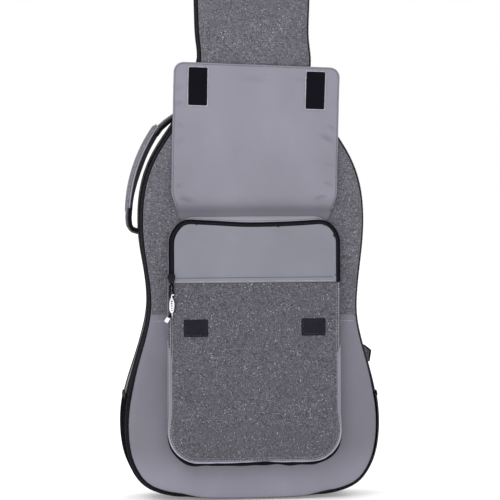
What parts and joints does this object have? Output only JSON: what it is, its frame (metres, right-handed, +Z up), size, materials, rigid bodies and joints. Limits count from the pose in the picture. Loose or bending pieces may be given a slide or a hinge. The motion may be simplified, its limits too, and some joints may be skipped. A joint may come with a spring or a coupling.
{
  "type": "padded gig bag",
  "caption": "Padded guitar-shaped gig bag with zipped front lid, front pocket under a hook-and-loop flap, side handle, shoulder straps and hanging loop.",
  "frame": {"origin": "inside top of the hanging loop at the headstock end, in the middle of the webbing", "axes": "+Z up along the bag from base to headstock, +Y to the back panel and shoulder straps, +X to the right seen from the front"},
  "size_m": [0.375, 0.1391, 1.1195],
  "materials": {
    "heather": "matte",
    "smooth": "matte",
    "foam": "matte",
    "lining": "matte",
    "guard": "satin",
    "webbing": "matte",
    "piping": "satin",
    "zip_tape": "matte",
    "zip_teeth": "satin",
    "slider": "satin",
    "buckle": "satin",
    "hook_loop": "matte",
    "cord": "matte",
    "pull_rubber": "satin"
  },
  "bodies": {
    "bag": {"back_outer": "heather", "back_foam": "foam", "back_lining": "lining", "back_piping": "piping", "gusset_outer": "heather", "gusset_foam": "foam", "gusset_lining": "lining", "base_guard": "guard", "hinge_strip": "smooth", "gusset_zip_tape": "zip_tape", "gusset_zip_teeth": "zip_teeth", "head_pad": "lining", "neck_cradle": "lining", "end_pin_pad": "lining", "cradle_strap_left": "hook_loop", "hang_loop": "webbing", "yoke_patch": "smooth", "wing_left": "heather", "wing_right": "heather", "webbing_left": "webbing", "webbing_right": "webbing", "handle_anchor_upper": "webbing", "handle_anchor_lower": "webbing"},
    "cradle_strap": {"cradle_strap_right": "hook_loop"},
    "handle": {"handle_grip": "smooth", "handle_pad": "lining"},
    "left_strap": {"strap_left": "smooth", "lock_left": "buckle", "tail_left": "webbing"},
    "right_strap": {"strap_right": "smooth", "lock_right": "buckle", "tail_right": "webbing"},
    "upper_slider": {"main_slider_upper": "slider"},
    "upper_pull": {"main_pull_upper": "slider"},
    "lower_slider": {"main_slider_lower": "slider"},
    "lower_pull": {"main_pull_lower": "slider"},
    "lid": {"lid_outer_upper": "heather", "lid_outer_lower": "smooth", "lid_foam": "foam", "lid_lining": "lining", "lid_zip_tape": "zip_tape", "lid_zip_teeth": "zip_teeth", "pocket_gusset": "heather", "pocket_front": "heather", "pocket_piping": "piping", "loop_patches": "hook_loop", "pocket_zip_tape": "zip_tape", "flap_seam": "smooth"},
    "mouth": {"mouth_panel": "smooth", "mouth_zip_tape": "zip_tape"},
    "pocket_slider": {"pocket_slider": "slider"},
    "pocket_pull": {"pull_cord": "cord", "pull_grip": "pull_rubber", "pull_tip": "pull_rubber"},
    "flap": {"flap_outer": "heather", "flap_stiffener": "foam", "flap_lining": "smooth", "hook_patches": "hook_loop"}
  },
  "joints": [
    {"name": "lid_hinge", "type": "hinge", "parent": "bag", "child": "lid", "pos_m": [0.1865, -0.0398, -1.01], "axis": [0, 0, 1], "range_deg": [0, 100]},
    {"name": "flap_hinge", "type": "hinge", "parent": "lid", "child": "flap", "pos_m": [0, -0.06, -0.706], "axis": [-1, 0, 0], "range_deg": [-177.5, 0]},
    {"name": "mouth_hinge", "type": "hinge", "parent": "lid", "child": "mouth", "pos_m": [0, -0.06425, -0.79929], "axis": [1, 0, 0], "range_deg": [0, 100]},
    {"name": "pocket_zip", "type": "slide", "parent": "lid", "child": "pocket_slider", "axis": [0, 0.0459, 0.9989], "range_m": [0, 0.034]},
    {"name": "pocket_pull_swing", "type": "hinge", "parent": "pocket_slider", "child": "pocket_pull", "pos_m": [-0.12, -0.0676, -0.80013], "axis": [-1, 0, 0], "range_deg": [0, 110]},
    {"name": "main_zip_upper", "type": "slide", "parent": "bag", "child": "upper_slider", "axis": [-0.0328, 0, 0.9995], "range_m": [0, 0.12]},
    {"name": "upper_pull_swing", "type": "hinge", "parent": "upper_slider", "child": "upper_pull", "pos_m": [-0.09363, -0.0399, -0.30641], "axis": [0, 1, 0], "range_deg": [0, 150]},
    {"name": "main_zip_lower", "type": "slide", "parent": "bag", "child": "lower_slider", "axis": [-0.0328, 0, 0.9995], "range_m": [-0.11, 0]},
    {"name": "lower_pull_swing", "type": "hinge", "parent": "lower_slider", "child": "lower_pull", "pos_m": [-0.09212, -0.0399, -0.35241], "axis": [0, 1, 0], "range_deg": [0, 150]},
    {"name": "handle_swing", "type": "hinge", "parent": "bag", "child": "handle", "pos_m": [-0.112, 0, -0.566], "axis": [-0.3003, 0, -0.9538], "range_deg": [-18, 18]},
    {"name": "left_strap_lift", "type": "hinge", "parent": "bag", "child": "left_strap", "pos_m": [-0.05, 0.0494, -0.525], "axis": [0.9737, 0, -0.2276], "range_deg": [0, 20], "deforming": ["webbing_left"]},
    {"name": "right_strap_lift", "type": "hinge", "parent": "bag", "child": "right_strap", "pos_m": [0.05, 0.0494, -0.525], "axis": [0.9737, 0, 0.2276], "range_deg": [0, 20], "deforming": ["webbing_right"]},
    {"name": "cradle_strap_fold", "type": "hinge", "parent": "bag", "child": "cradle_strap", "pos_m": [0.04, 0.0148, -0.384], "axis": [0, 0, 1], "range_deg": [0, 90]}
  ]
}
